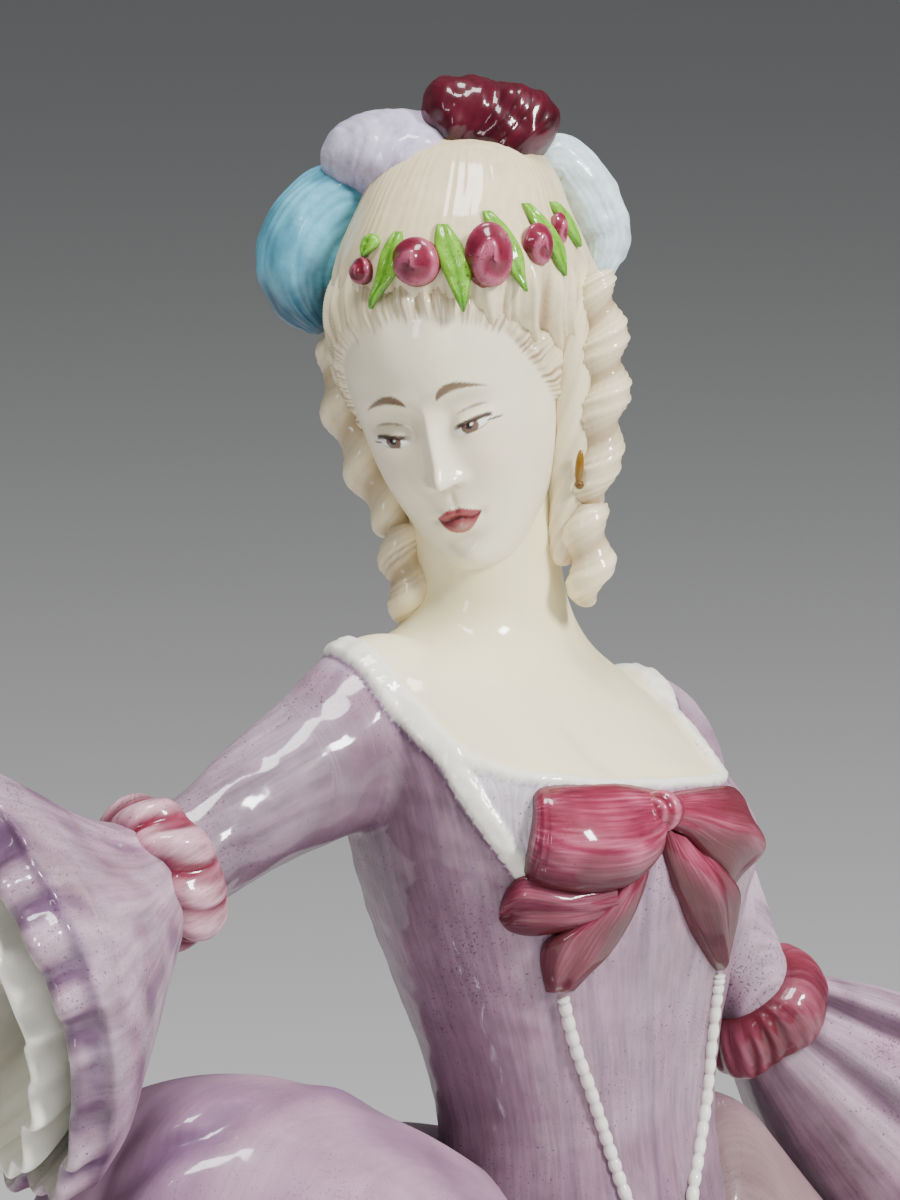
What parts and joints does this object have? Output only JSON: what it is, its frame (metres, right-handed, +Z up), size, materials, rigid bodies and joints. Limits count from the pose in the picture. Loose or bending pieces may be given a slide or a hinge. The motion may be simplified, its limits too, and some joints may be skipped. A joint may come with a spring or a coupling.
{
  "type": "porcelain lady figurine",
  "caption": "Glazed porcelain statuette of a lady in a wide skirt and bell sleeves, with plumes and roses in her piled hair, on a low oval base.",
  "frame": {"origin": "centre of the oval base's flat underside", "axes": "+Z up, the lady's chest faces -Y and her right hand points towards -X"},
  "size_m": [0.1493, 0.1156, 0.2398],
  "materials": {
    "porcelain": "glossy clear glaze over hand-painted lavender, rose, turquoise and cream"
  },
  "bodies": {
    "root": {"lady_figurine": "porcelain"}
  },
  "joints": []
}
